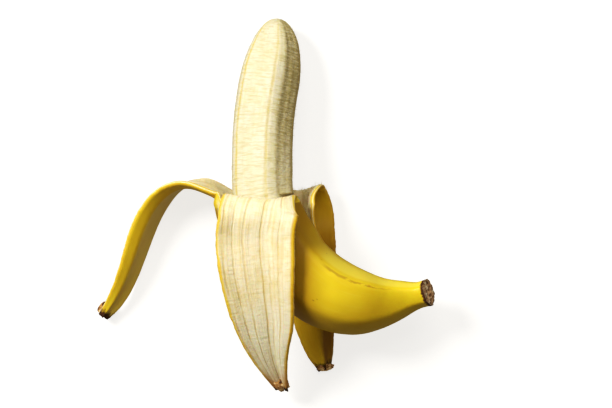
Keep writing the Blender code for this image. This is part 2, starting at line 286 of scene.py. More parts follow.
def torn(strip, along, angle, inside):
    """Points on a torn strip, along it from the collar."""
    table, start = STRIPS[strip]
    first, heading = at(table, np.array((start,)))
    root = frames_of(heading, first[:, 5:8])[0]
    level = np.full(len(along), COLLAR)
    both = [(sleeve(level, angle, strip, k) - first[0, :3]) @ root for k in (False, True)]
    middle = (both[0] + both[1]) / 2
    value, tangent = at(table, start + along)
    share = along / LENGTHS[strip]
    blend = ease(along / ROOT_BLEND)[:, None]
    turned = frames_of(tangent, value[:, 5:8])
    kept = middle @ root.T + np.einsum("nij,nj->ni", turned, both[inside] - middle)
    low, high = TEARS[strip], TEARS[strip + 1]
    width, curl = value[:, 3], np.maximum(0.02, value[:, 4])
    turn = (angle - (low + high) / 2) / (high - low) * width * curl / STRIP_RADIUS
    radius = STRIP_RADIUS / curl
    thick = STRIP_THICKNESS + (TIP_THICKNESS - STRIP_THICKNESS) * ease((share - 0.5) * 2)
    bump = STRIP_RADIUS * (around(PEEL_PROFILE, angle) - 1) * np.minimum(1.0, 0.3 + curl)
    off = bump + (-thick / 2 if inside else thick / 2)
    x = np.sin(turn) * (radius + off)
    y = radius - np.cos(turn) * (radius + off)
    corner = ((angle - (low + high) / 2) * 2 / (high - low)) ** 2
    y = y - FOLD_SAG[strip] * corner * np.exp(-((along / 9) ** 2))
    made = np.einsum("nij,nj->ni", turned, np.stack((x, y, np.zeros_like(x)), axis=-1))
    return value[:, :3] + kept * (1 - blend) + made * blend


def wobble(points, scale, seed, octaves=3):
    """Smooth noise from -1 to 1 at each point, with features of about this size."""
    made = np.empty(len(points))
    for i, p in enumerate(np.asarray(points) / scale):
        made[i] = noise.fractal(Vector((p[0] + seed, p[1], p[2])), 1.0, 2.0, octaves)
    return made


def peel_grid():
    """Keys, rows and faces of the peel's fine grid. A key is side, row, strip and column."""
    index = {}
    stem = np.linspace(0, 1, 31)[:-1] * 30.0
    body = np.linspace(30.0, COLLAR, SLEEVE_ROWS - len(stem) + 1)
    rows = np.concatenate((stem, body))
    tear_row = int(np.argmin(np.abs(rows - COLLAR + RIGHT_TEAR)))
    collar_row = len(rows) - 1
    spread = (np.arange(1, STRIP_ROWS + 1) / STRIP_ROWS) ** 1.2
    open_from = (tear_row, collar_row, collar_row)
    inner_first = int(np.argmax(rows > STEM_CLOSED))
    last = collar_row + STRIP_ROWS
    faces, kinds = [], []

    def vertex(inside, row, strip, col):
        if col == COLUMNS[strip] and row <= open_from[(strip + 1) % 3]:
            strip, col = (strip + 1) % 3, 0
        return index.setdefault((inside, row, strip, col), len(index))

    def face(kind, *corners):
        faces.append(corners)
        kinds.append(kind)

    for inside in (False, True):
        for row in range(inner_first if inside else 0, last):
            for strip in range(3):
                for col in range(COLUMNS[strip]):
                    a = vertex(inside, row, strip, col)
                    b = vertex(inside, row, strip, col + 1)
                    c = vertex(inside, row + 1, strip, col + 1)
                    d = vertex(inside, row + 1, strip, col)
                    if inside:
                        face("pith", a, b, c, d)
                    else:
                        face("skin", d, c, b, a)
    for strip in range(3):
        end = COLUMNS[strip]
        for row in range(open_from[strip], last):
            o = vertex(False, row, strip, 0), vertex(False, row + 1, strip, 0)
            i = vertex(True, row, strip, 0), vertex(True, row + 1, strip, 0)
            face("edge", i[0], i[1], o[1], o[0])
        for row in range(open_from[(strip + 1) % 3], last):
            o = vertex(False, row, strip, end), vertex(False, row + 1, strip, end)
            i = vertex(True, row, strip, end), vertex(True, row + 1, strip, end)
            face("edge", i[1], i[0], o[0], o[1])
        for col in range(end):
            o = vertex(False, last, strip, col), vertex(False, last, strip, col + 1)
            i = vertex(True, last, strip, col), vertex(True, last, strip, col + 1)
            face("edge", i[0], i[1], o[1], o[0])
    return index, rows, spread, inner_first, faces, kinds


def edge_distance(strip, along, angle):
    """Millimetres to the nearest torn edge, and which edge it is, on a strip."""
    value, _ = at(STRIPS[strip][0], STRIPS[strip][1] + along)
    low, high = TEARS[strip], TEARS[strip + 1]
    share = (angle - low) / (high - low)
    width = np.where(along < 0, math.radians(high - low) * STRIP_RADIUS, value[:, 3])
    return np.minimum(share, 1 - share) * width, share > 0.5


def peel_data():
    """Vertices, faces, face kinds and painting coordinates of the fine peel."""
    index, rows, spread, inner_first, faces, kinds = peel_grid()
    keys = np.array(sorted(index, key=index.get))
    side, row, strip, col = keys.T
    count = len(rows)
    on_strip = row >= count
    angle = np.empty(len(keys))
    place = np.empty(len(keys))
    edge = np.full(len(keys), 60.0)
    points = np.empty((len(keys), 3))
    for k in range(3):
        mine = strip == k
        low, high = TEARS[k], TEARS[k + 1]
        angle[mine] = low + (high - low) * col[mine] / COLUMNS[k]
        place[mine & ~on_strip] = rows[row[mine & ~on_strip]]
        place[mine & on_strip] = spread[row[mine & on_strip] - count] * LENGTHS[k]
    tip = np.full(len(keys), 200.0)
    for k in range(3):
        low, high = TEARS[k], TEARS[k + 1]
        mine = (strip == k) & on_strip
        distance, far = edge_distance(k, place[mine], angle[mine])
        line = np.column_stack((place[mine], far * 40.0 + k * 90.0, 0 * distance))
        ragged = wobble(line, 5.0, SEED)
        fine = wobble(line, 1.3, SEED)
        fall = np.exp(-distance / 1.6)
        move = (0.34 * ragged + 0.16 * fine) * fall * ease(place[mine] / 6)
        degrees = move / 17.0 * 57.3 * np.where(far, 1, -1)
        angle[mine] = angle[mine] + degrees
        edge[mine] = distance
        tip[mine] = LENGTHS[k] - place[mine]
    for k in (0, 2):
        mine = (strip == k) & ~on_strip & (place > COLLAR - RIGHT_TEAR)
        away = (angle[mine] - TEARS[0]) if k == 0 else (TEARS[3] - angle[mine])
        edge[mine] = np.minimum(edge[mine], np.abs(np.radians(away)) * 18.0)
    pair = {}
    for k in range(3):
        mine = strip == k
        for state, chosen in ((False, mine & ~on_strip), (True, mine & on_strip)):
            if not chosen.any():
                continue
            make = torn if state else sleeve
            if state:
                pair[False] = make(k, place[chosen], angle[chosen], False)
                pair[True] = make(k, place[chosen], angle[chosen], True)
            else:
                pair[False] = make(place[chosen], angle[chosen], k, False)
                pair[True] = make(place[chosen], angle[chosen], k, True)
            near = np.clip(edge[chosen] / 1.7, 0.0, 1.0)
            pinch = 0.45 + 0.55 * np.sqrt(1 - (1 - near) ** 2)
            pinch = np.where(place[chosen] < STEM_CLOSED + 8, 1.0, pinch) if not state else pinch
            middle = (pair[False] + pair[True]) / 2
            own = np.where(side[chosen][:, None] == 1, pair[True], pair[False])
            points[chosen] = middle + (own - middle) * pinch[:, None]
    run = np.where(on_strip, place, place - COLLAR)
    across = np.radians(angle) * 17.0
    stem = np.where(on_strip, COLLAR + place, place)
    paint = {
        "lie": np.column_stack((across, run, side * 1.0)),
        "rim": np.column_stack((edge, tip, stem)),
    }
    points, faces, kinds, paint = stem_cap(index, points, faces, kinds, paint, inner_first)
    return points, faces, kinds, paint


def stem_cap(index, points, faces, kinds, paint, inner_first):
    """Closes the stem cut with rough rings and the hidden inner end with a fan."""
    ring = [index[(False, 0, k, c)] for k in range(3) for c in range(COLUMNS[k])]
    count = len(ring)
    rim = points[ring]
    centre = rim.mean(axis=0)
    normal = -at(AXIS_TABLE, np.array((0.4,)))[1][0]
    made, lie, edge = [points], [paint["lie"]], [paint["rim"]]
    previous = ring
    total = len(points)
    for share in (*CAP_RINGS, 0.0):
        spots = centre + (rim - centre) * share if share else centre[None, :]
        rough = 0.75 * wobble(spots, 2.6, 31.0) + 0.35 * wobble(spots, 0.9, 12.0)
        dished = -0.9 * (1 - share**2)
        spots = spots + normal * (rough * min(1.0, (1 - share) * 5) + dished)[:, None]
        made.append(spots)
        lie.append(np.column_stack((spots[:, 0], spots[:, 1], np.zeros(len(spots)))))
        edge.append(np.tile((60.0, 200.0, -3.0 * (1 - share) - 0.5), (len(spots), 1)))
        ids = list(range(total, total + len(spots)))
        total += len(spots)
        for j in range(count):
            k = (j + 1) % count
            if share:
                faces.append((previous[j], previous[k], ids[k], ids[j]))
            else:
                faces.append((previous[j], previous[k], ids[0]))
            kinds.append("cut")
        previous = ids
    inner = [index[(True, inner_first, k, c)] for k in range(3) for c in range(COLUMNS[k])]
    hub = np.vstack(made)[inner].mean(axis=0)
    made.append(hub[None, :])
    lie.append(np.zeros((1, 3)))
    edge.append(np.array(((60.0, 200.0, 60.0),)))
    for j in range(count):
        faces.append((inner[(j + 1) % count], inner[j], total))
        kinds.append("pith")
    return np.vstack(made), faces, kinds, {"lie": np.vstack(lie), "rim": np.vstack(edge)}


def flesh_surface(s, angle):
    """Centres, outward directions, radii, and the grooves of the seams and lobes on the flesh, with
    how much of each shows.
    """
    centre, radius, side, up = frame_at(s)
    left = FULL - s
    free = FLESH_COLLAR_RADIUS + (FLESH_RADIUS - FLESH_COLLAR_RADIUS) * ease((s - COLLAR) / 30)
    free = free * around(FLESH_PROFILE, angle)
    kept = inner_radius(s, angle, radius) - GAP
    kept = np.where(s > COLLAR - 14, np.where(s < COLLAR + 4, np.minimum(kept, free), free), kept)
    round_off = np.sqrt(np.clip(1 - (1 - left / FLESH_TIP) ** 2, 0.0, 1.0))
    kept = np.where(left < FLESH_TIP, kept * round_off, kept)
    kept = np.maximum(0.3, kept)
    shown = ease((s - COLLAR + 6) / 8) * ease(left / 12)
    bend = 1.5 * np.sin(s / 19.0) + 0.7 * np.sin(s / 7.3 + 1.0)
    groove = np.zeros_like(s)
    for k, seam in enumerate(FLESH_SEAMS):
        off = (angle + bend * (1 if k % 2 else -1) - seam + 180) % 360 - 180
        groove -= 0.24 * np.exp(-((off / 1.5) ** 2))
        groove += 0.16 * np.exp(-((off / 5.5) ** 2))
    # A little fuller beside the middle seam.
    groove += 0.6 * np.exp(-(((angle - 68) / 9) ** 2))
    groove += 0.05 * np.cos(np.radians(angle) * 23 + 0.6 * np.sin(s / 11.0))
    turn = np.radians(angle)[:, None]
    out = side * np.cos(turn) + up * np.sin(turn)
    return centre, out, kept, groove * shown, shown


def flesh_data():
    """Vertices, faces and painting coordinates of the fine flesh."""
    first = STEM_CLOSED + 5.5
    hidden = first + np.linspace(0, 1, 9)[:-1] ** 1.5 * 14
    sleeve_part = np.linspace(first + 14, COLLAR - 8, 30)[:-1]
    body = np.linspace(COLLAR - 8, FULL - FLESH_TIP, FLESH_ROWS - 120)[:-1]
    tip = FULL - FLESH_TIP + FLESH_TIP * np.sin(np.linspace(0, math.pi / 2, 111))[:-1]
    rows = np.concatenate((hidden, sleeve_part, body, tip))
    angles = np.linspace(0, 360, FLESH_SIDES + 1)[:-1]
    s = np.repeat(rows, FLESH_SIDES)
    angle = np.tile(angles, len(rows))
    centre, out, reach, groove, shown = flesh_surface(s, angle)
    base = centre + out * reach[:, None]
    rings = wobble(np.column_stack((angle / 9.0, s * 1.0, 0 * s)), 0.62, 3.0, 1)
    uneven = wobble(base, 9.0, 5.0)
    shaded = 0.6 + 0.4 * np.cos(np.radians(angle - 10))
    reach = reach + groove + shown * (0.15 * rings * shaded + 0.15 * uneven)
    points = centre + out * reach[:, None]
    points[:, 2] = np.maximum(points[:, 2], 0.0)
    faces = []
    n = FLESH_SIDES
    for i in range(len(rows) - 1):
        for j in range(n):
            k = (j + 1) % n
            faces.append(((i + 1) * n + j, (i + 1) * n + k, i * n + k, i * n + j))
    total = len(points)
    ends = np.vstack((points[:n].mean(axis=0), frame_at(np.array((FULL,)))[0][0]))
    faces += [(j, (j + 1) % n, total) for j in range(n)]
    base_row = (len(rows) - 1) * n
    faces += [(base_row + (j + 1) % n, base_row + j, total + 1) for j in range(n)]
    points = np.vstack((points, ends))
    lie = np.column_stack((np.radians(angle) * 15.5, s - COLLAR, angle))
    lie = np.vstack((lie, (0.0, first - COLLAR, 0.0), (0.0, FULL - COLLAR, 0.0)))
    return points, faces, {"lie": lie}


def mesh_object(name, points, faces, paint, kinds=None, materials=None):
    """A smooth mesh object from millimetre points, with painting coordinates."""
    mesh = bpy.data.meshes.new(name)
    mesh.from_pydata(((np.asarray(points) - SHIFT) * MM).tolist(), [], faces)
    for key, values in paint.items():
        made = mesh.attributes.new(key, "FLOAT_VECTOR", "POINT")
        made.data.foreach_set("vector", np.asarray(values, dtype=np.float32).ravel())
    for surface in materials.values():
        mesh.materials.append(surface)
    if kinds:
        order = {kind: i for i, kind in enumerate(materials)}
        mesh.polygons.foreach_set("material_index", [order[kind] for kind in kinds])
    mesh.shade_smooth()
    mesh.update()
    made = bpy.data.objects.new(name, mesh)
    bpy.context.scene.collection.objects.link(made)
    return made


def roughen(obj, amount):
    """Moves each vertex along its normal by amount, an array in millimetres."""
    mesh = obj.data
    count = len(mesh.vertices)
    where = np.empty(count * 3)
    normal = np.empty(count * 3)
    mesh.vertices.foreach_get("co", where)
    mesh.vertex_normals.foreach_get("vector", normal)
    moved = where.reshape(-1, 3) + normal.reshape(-1, 3) * (amount * MM)[:, None]
    moved[:, 2] = np.maximum(moved[:, 2], 0.0)
    mesh.vertices.foreach_set("co", moved.ravel())
    mesh.update()


class Nodes:
    """A small helper that builds a material's node tree around its Principled BSDF."""

    def __init__(self, name):
        self.material = bpy.data.materials.new(name)
        self.material.use_nodes = True
        self.tree = self.material.node_tree
        self.surface = self.tree.nodes["Principled BSDF"]

    def new(self, kind, **values):
        """A node with these settings."""
        node = self.tree.nodes.new(kind)
        for key, value in values.items():
            setattr(node, key, value)
        return node

    def put(self, socket, value):
        """Links a socket or sets a constant."""
        if isinstance(value, bpy.types.NodeSocket):
            self.tree.links.new(value, socket)
        else:
            socket.default_value = value

    def math(self, operation, a, b=0.0, clamp=False):
        """A math node's result."""
        node = self.new("ShaderNodeMath", operation=operation, use_clamp=clamp)
        self.put(node.inputs[0], a)
        self.put(node.inputs[1], b)
        return node.outputs[0]

    def attribute(self, name):
        """A painting coordinate's vector and its three numbers."""
        node = self.new("ShaderNodeAttribute", attribute_name=name)
        parts = self.new("ShaderNodeSeparateXYZ")
        self.put(parts.inputs[0], node.outputs["Vector"])
        return node.outputs["Vector"], parts.outputs

    def scaled(self, vector, scale):
        """The vector times a scale for each axis."""
        node = self.new("ShaderNodeVectorMath", operation="MULTIPLY")
        self.put(node.inputs[0], vector)
        node.inputs[1].default_value = scale
        return node.outputs[0]

    def noise(self, vector, scale, detail=3.0, roughness=0.55):
        """Noise from 0 to 1."""
        node = self.new("ShaderNodeTexNoise")
        self.put(node.inputs["Vector"], vector)
        node.inputs["Scale"].default_value = scale
        node.inputs["Detail"].default_value = detail
        node.inputs["Roughness"].default_value = roughness
        return node.outputs["Fac"]

    def span(self, value, low, high, first=0.0, last=1.0, smooth=True):
        """The value mapped from one span to another and clamped."""
        node = self.new("ShaderNodeMapRange", clamp=True)
        node.interpolation_type = "SMOOTHSTEP" if smooth else "LINEAR"
        self.put(node.inputs["Value"], value)
        node.inputs["From Min"].default_value = low
        node.inputs["From Max"].default_value = high
        node.inputs["To Min"].default_value = first
        node.inputs["To Max"].default_value = last
        return node.outputs["Result"]

    def mix(self, factor, first, last):
        """A mix of two colours."""
        node = self.new("ShaderNodeMix", data_type="RGBA")
        self.put(node.inputs["Factor"], factor)
        for socket, value in ((node.inputs[6], first), (node.inputs[7], last)):
            self.put(socket, value if isinstance(value, bpy.types.NodeSocket) else (*value, 1))
        return node.outputs[2]

    def bump(self, height, strength, distance, normal=None):
        """A bump normal."""
        node = self.new("ShaderNodeBump")
        node.inputs["Strength"].default_value = strength
        node.inputs["Distance"].default_value = distance
        self.put(node.inputs["Height"], height)
        if normal is not None:
            self.put(node.inputs["Normal"], normal)
        return node.outputs[0]

    def finish(self, colour, roughness, normal=None, **constants):
        """Connects the surface."""
        self.put(self.surface.inputs["Base Color"], colour)
        self.put(self.surface.inputs["Roughness"], roughness)
        if normal is not None:
            self.put(self.surface.inputs["Normal"], normal)
        for key, value in constants.items():
            self.surface.inputs[key.replace("_", " ")].default_value = value
        return self.material


DEEP = (0.74, 0.48, 0.004)
YELLOW = (0.88, 0.67, 0.035)
PALE = (0.93, 0.76, 0.12)
BROWN = (0.16, 0.055, 0.012)
DARK = (0.045, 0.018, 0.008)
AMBER = (0.62, 0.36, 0.04)
# Where the amber strings run along the peel's inside, in degrees around the banana.
PITH_LINES = (40, 59, 74, 106, 127, 146, 185, 207, 230, 280, 300, 322, 345)
CREAM = (0.90, 0.82, 0.58)
CREAM_DEEP = (0.83, 0.71, 0.42)


def skin_material():
    """Ripe yellow skin: clear yellow, browned ridge marks, freckles, and dried brown tips, with
    painted light and shade on some zones.
    """
    n = Nodes("peel_skin")
    lie, (across, run, _) = n.attribute("lie")
    _, (edge, tip, stem) = n.attribute("rim")
    clouds = n.noise(n.scaled(lie, (0.06, 0.035, 0.05)), 1.0, 4.0)
    streaks = n.noise(n.scaled(lie, (0.9, 0.045, 0.3)), 1.0, 3.0)
    colour = n.mix(n.span(clouds, 0.35, 0.75, 0.0, 0.45), YELLOW, DEEP)
    colour = n.mix(n.math("MULTIPLY", n.span(streaks, 0.5, 0.75), 0.22), colour, PALE)
    ripe = n.span(stem, 8.0, 42.0, 1.0, 0.0)
    colour = n.mix(n.math("MULTIPLY", ripe, 0.5), colour, (0.95, 0.76, 0.02))
    # Thin brown marks where the ridge was rubbed.
    ridge = math.radians(RIDGES[0]) * 17.0
    drift = n.span(n.noise(n.scaled(lie, (0.0, 0.12, 0.0)), 1.0), 0.0, 1.0, -0.8, 0.8, False)
    off = n.math("ABSOLUTE", n.math("SUBTRACT", n.math("ADD", across, drift), ridge))
    line = n.span(off, 0.25, 1.05, 1.0, 0.0)
    dashes = n.span(n.noise(n.scaled(lie, (0.3, 0.08, 0.0)), 1.0, 4.0, 0.6), 0.42, 0.54)
    where = n.math("MULTIPLY", n.span(run, -90.0, -74.0), n.span(run, -46.0, -38.0, 1.0, 0.0))
    marks = n.math("MULTIPLY", n.math("MULTIPLY", line, dashes), where)
    colour = n.mix(n.math("MULTIPLY", marks, 0.9), colour, (0.40, 0.18, 0.01))
    # A painted highlight: lighter yellow along the ridge.
    ridge_highlight = n.math("MULTIPLY", n.span(off, 0.2, 2.2, 1.0, 0.0), n.span(run, -96.0, -50.0, 0.1, 0.35))
    colour = n.mix(ridge_highlight, colour, (0.92, 0.74, 0.06))
    # Painted light: the skin between the ridge and the inner curve is painted paler on the side
    # that faces the light.
    painted_upper_light = n.math("MULTIPLY", n.span(across, 2.0, 8.0), n.span(across, 15.5, 18.0, 1.0, 0.0))
    painted_upper_light = n.math("MULTIPLY", painted_upper_light, n.span(run, -30.0, -42.0, 0.0, 0.75))
    colour = n.mix(painted_upper_light, colour, (0.98, 0.82, 0.13))
    # A few more near the stem, on the inner curve.
    high = n.math("MULTIPLY", n.span(across, -1.5, 0.5), n.span(across, 2.0, 3.6, 1.0, 0.0))
    length = n.math("MULTIPLY", n.span(run, -77.0, -74.0), n.span(run, -67.0, -64.0, 1.0, 0.0))
    high = n.math("MULTIPLY", high, length)
    high = n.math("MULTIPLY", high, n.math("MULTIPLY", dashes, 0.85))
    colour = n.mix(high, colour, (0.36, 0.17, 0.01))
    # Painted light: a pale sheen is painted on the left strip's broad facet, fading further along
    # the strip.
    facet = n.math("MULTIPLY", n.span(across, 54.0, 56.5), n.span(across, 73.0, 75.5, 1.0, 0.0))
    facet = n.math("MULTIPLY", facet, n.span(run, 2.0, 12.0))
    facet = n.math("MULTIPLY", facet, n.span(run, 20.0, 95.0, 0.75, 0.30, False))
    colour = n.mix(facet, colour, (0.96, 0.86, 0.40))
    # Freckles.
    cells = n.new("ShaderNodeTexVoronoi", feature="F1")
    n.put(cells.inputs["Vector"], n.scaled(lie, (0.26, 0.12, 1.0)))
    cells.inputs["Scale"].default_value = 1.0
    dots = n.span(cells.outputs["Distance"], 0.02, 0.10, 1.0, 0.0)
    sparse = n.span(n.noise(n.scaled(lie, (0.11, 0.07, 0.3)), 1.0, 2.0), 0.55, 0.66)
    freckles = n.math("MULTIPLY", n.math("MULTIPLY", dots, sparse), 0.6)
    colour = n.mix(freckles, colour, BROWN)
    # Painted shade: the back strip's right half is painted a mottled brown, strongest further along
    # it, where it turns away from the light.
    back = n.math("MULTIPLY", n.span(across, 92.0, 97.0), n.span(run, 4.0, 60.0, 0.25, 1.0))
    shade_mottle = n.span(n.noise(n.scaled(lie, (0.10, 0.04, 0.3)), 1.0, 3.0), 0.25, 0.6, 0.35, 0.85)
    colour = n.mix(n.math("MULTIPLY", back, shade_mottle), colour, (0.30, 0.12, 0.006))
    # Painted shadow: the sleeve's skin is painted brown where the folded strip lies over it and
    # shades it.
    place = n.new("ShaderNodeSeparateXYZ")
    n.put(place.inputs[0], n.new("ShaderNodeTexCoord").outputs["Object"])
    painted_strip_shadow = n.span(place.outputs[0], 0.0165, 0.034, 0.72, 0.0)
    painted_strip_shadow = n.math("MULTIPLY", painted_strip_shadow, n.span(run, -1.0, 0.0, 1.0, 0.0))
    painted_strip_shadow = n.math("MULTIPLY", painted_strip_shadow, n.span(place.outputs[2], 0.012, 0.022))
    colour = n.mix(painted_strip_shadow, colour, (0.30, 0.15, 0.002))
    # Painted shade: the outer curve of the sleeve is painted a deeper yellow where it turns down
    # from the light, and the left tear's corner is pale pith.
    low = n.math("ADD", place.outputs[1], n.math("MULTIPLY", place.outputs[0], -0.20))
    painted_underside_shade = n.span(low, -0.064, -0.050, 0.42, 0.0)
    painted_underside_shade = n.math("MULTIPLY", painted_underside_shade, n.span(run, -30.0, -20.0, 1.0, 0.0))
    colour = n.mix(painted_underside_shade, colour, (0.40, 0.27, 0.004))
    corner = n.span(place.outputs[0], -0.0275, -0.0255)
    corner = n.math("MULTIPLY", corner, n.span(place.outputs[0], -0.0185, -0.0170, 1.0, 0.0))
    corner = n.math("MULTIPLY", corner, n.span(place.outputs[1], -0.007, -0.002))
    corner = n.math("MULTIPLY", corner, n.span(place.outputs[2], 0.030, 0.036))
    colour = n.mix(corner, colour, CREAM)
    # The torn rim bruises amber.
    rim = n.math("MULTIPLY", n.span(edge, 0.0, 1.6, 1.0, 0.0), 0.55)
    colour = n.mix(rim, colour, AMBER)
    # Brown, dry blossom ends and stem cut.
    ragged = n.span(n.noise(n.scaled(lie, (0.35, 0.35, 0.4)), 1.0, 4.0), 0.0, 1.0, -3.0, 3.0, False)
    end = n.span(n.math("ADD", tip, ragged), 1.8, 5.0, 1.0, 0.0)
    cut = n.span(n.math("ADD", stem, n.math("MULTIPLY", ragged, 0.35)), 0.9, 2.0, 1.0, 0.0)
    dry = n.math("MAXIMUM", end, cut)
    fleck = n.span(n.noise(n.scaled(lie, (0.9, 0.5, 0.9)), 1.0, 4.0), 0.42, 0.62)
    colour = n.mix(dry, colour, n.mix(fleck, DARK, BROWN))
    fine = n.noise(n.scaled(lie, (1.6, 0.5, 1.0)), 1.0, 5.0, 0.65)
    height = n.math("ADD", fine, n.math("MULTIPLY", n.math("MULTIPLY", dry, fleck), 3.0))
    normal = n.bump(height, 0.22, 0.00025)
    rough = n.math("ADD", n.span(clouds, 0.3, 0.7, 0.36, 0.46), n.math("MULTIPLY", dry, 0.4))
    return n.finish(
        colour,
        rough,
        normal,
        Subsurface_Weight=0.10,
        Subsurface_Radius=(1.0, 0.5, 0.05),
        Subsurface_Scale=0.0015,
        Specular_IOR_Level=0.32,
    )


def pith_material():
    """The peel's inside: cream, with strings and amber streaks along it and fine rings across."""
    n = Nodes("peel_inside")
    lie, (across, run, _) = n.attribute("lie")
    _, (edge, tip, _) = n.attribute("rim")
    warp = n.span(n.noise(n.scaled(lie, (0.05, 0.05, 0.2)), 1.0), 0.0, 1.0, -1.3, 1.3, False)
    drifted = n.math("ADD", across, warp)
    bent = n.new("ShaderNodeCombineXYZ")
    n.put(bent.inputs[0], drifted)
    n.put(bent.inputs[1], run)
    strings = n.noise(n.scaled(bent.outputs[0], (0.55, 0.012, 0.0)), 1.0, 3.0, 0.6)
    thin = n.noise(n.scaled(bent.outputs[0], (1.5, 0.02, 0.0)), 1.0, 2.0, 0.5)
    blotch = n.noise(n.scaled(lie, (0.14, 0.10, 0.3)), 1.0, 4.0, 0.6)
    rings = n.noise(n.scaled(lie, (0.16, 0.80, 0.3)), 1.0, 2.0, 0.6)
    colour = n.mix(n.span(blotch, 0.40, 0.68), CREAM, CREAM_DEEP)
    lower = n.span(run, 5.0, 75.0, 0.25, 0.42)
    ringed = n.math("MULTIPLY", n.span(rings, 0.48, 0.62), lower)
    colour = n.mix(ringed, colour, (0.76, 0.62, 0.30))
    colour = n.mix(n.span(run, 45.0, 80.0, 0.0, 0.8), colour, (0.97, 0.93, 0.76))
    colour = n.mix(n.span(thin, 0.52, 0.70, 0.0, 0.45), colour, (0.96, 0.90, 0.70))
    lines = None
    for place in PITH_LINES:
        line = n.math("ABSOLUTE", n.math("SUBTRACT", drifted, math.radians(place) * 17.0))
        lines = line if lines is None else n.math("MINIMUM", lines, line)
    broken = n.span(n.noise(n.scaled(lie, (0.16, 0.06, 0.0)), 1.0, 3.0), 0.30, 0.62, 0.15, 1.0)
    amber = n.math("MULTIPLY", n.span(lines, 0.15, 0.95, 1.0, 0.0), broken)
    colour = n.mix(n.math("MULTIPLY", amber, 0.4), colour, (0.66, 0.45, 0.10))
    haze = n.math("MULTIPLY", n.span(strings, 0.52, 0.68), 0.35)
    colour = n.mix(haze, colour, (0.76, 0.56, 0.16))
    # A deeper amber band along the front strip's right edge by the fold: the rind's yellow, with
    # painted shade.
    rind_band_shade = n.math("MULTIPLY", n.span(across, 3.4, 5.4, 1.0, 0.0), n.span(run, 3.0, 14.0))
    rind_band_shade = n.math("MULTIPLY", rind_band_shade, n.span(blotch, 0.25, 0.6, 0.55, 1.0))
    colour = n.mix(rind_band_shade, colour, (0.66, 0.40, 0.015))
    rim = n.span(n.math("ADD", edge, n.span(blotch, 0.3, 0.7, -0.5, 0.5)), 0.3, 1.9, 1.0, 0.0)
    colour = n.mix(n.math("MULTIPLY", rim, 0.9), colour, (0.78, 0.53, 0.02))
    ragged = n.span(n.noise(n.scaled(lie, (0.35, 0.35, 0.4)), 1.0, 4.0), 0.0, 1.0, -3.5, 3.5, False)
    warm = n.span(n.math("ADD", tip, ragged), 4.0, 19.0, 1.0, 0.0)
    core = n.span(edge, 0.6, 3.6, 1.0, 0.35)
    colour = n.mix(n.math("MULTIPLY", warm, core), colour, (0.54, 0.30, 0.08))
    end = n.span(n.math("ADD", tip, ragged), 1.0, 4.0, 1.0, 0.0)
    colour = n.mix(end, colour, DARK)
    height = n.math("ADD", n.math("MULTIPLY", strings, 1.0), n.math("MULTIPLY", rings, 0.8))
    height = n.math("ADD", height, n.math("MULTIPLY", thin, 0.5))
    height = n.math("SUBTRACT", height, n.math("MULTIPLY", amber, 0.8))
    normal = n.bump(height, 0.7, 0.0005)
    return n.finish(
        colour,
        n.span(blotch, 0.3, 0.7, 0.52, 0.68),
        normal,
        Subsurface_Weight=0.25,
        Subsurface_Radius=(1.0, 0.6, 0.25),
        Subsurface_Scale=0.002,
        Specular_IOR_Level=0.35,
    )


def edge_material():
    """The torn edge: a thin yellow skin layer over pale, fibrous pith."""
    n = Nodes("peel_torn_edge")
    lie, (_, _, depth) = n.attribute("lie")
    _, (_, tip, _) = n.attribute("rim")
    fibre = n.noise(n.scaled(lie, (0.8, 0.8, 3.0)), 1.0, 4.0, 0.65)
    shade = n.math("ADD", depth, n.span(fibre, 0.3, 0.7, -0.18, 0.18))
    colour = n.mix(n.span(shade, 0.2, 0.62), (0.80, 0.54, 0.02), (0.90, 0.78, 0.42))
    colour = n.mix(n.math("MULTIPLY", n.span(fibre, 0.5, 0.7), 0.5), colour, AMBER)
    end = n.span(n.math("ADD", tip, n.span(fibre, 0.3, 0.7, -1.5, 1.5)), 1.5, 5.0, 1.0, 0.0)
    colour = n.mix(end, colour, DARK)
    return n.finish(
        colour,
        0.6,
        n.bump(fibre, 0.6, 0.0004),
        Subsurface_Weight=0.2,
        Subsurface_Radius=(1.0, 0.6, 0.2),
        Subsurface_Scale=0.0015,
    )


def cut_material():
    """The dry stem cut: dark brown with pale strands."""
    n = Nodes("stem_cut")
    lie, _ = n.attribute("lie")
    strands = n.noise(n.scaled(lie, (1.0, 0.45, 0.4)), 1.0, 4.0, 0.7)
    spots = n.noise(n.scaled(lie, (0.6, 0.4, 0.2)), 1.0, 2.0)
    colour = n.mix(n.span(strands, 0.38, 0.62), (0.22, 0.11, 0.05), (0.85, 0.60, 0.37))
    colour = n.mix(n.span(spots, 0.54, 0.64), colour, (0.95, 0.86, 0.68))
    return n.finish(colour, 0.8, n.bump(strands, 0.9, 0.0008))


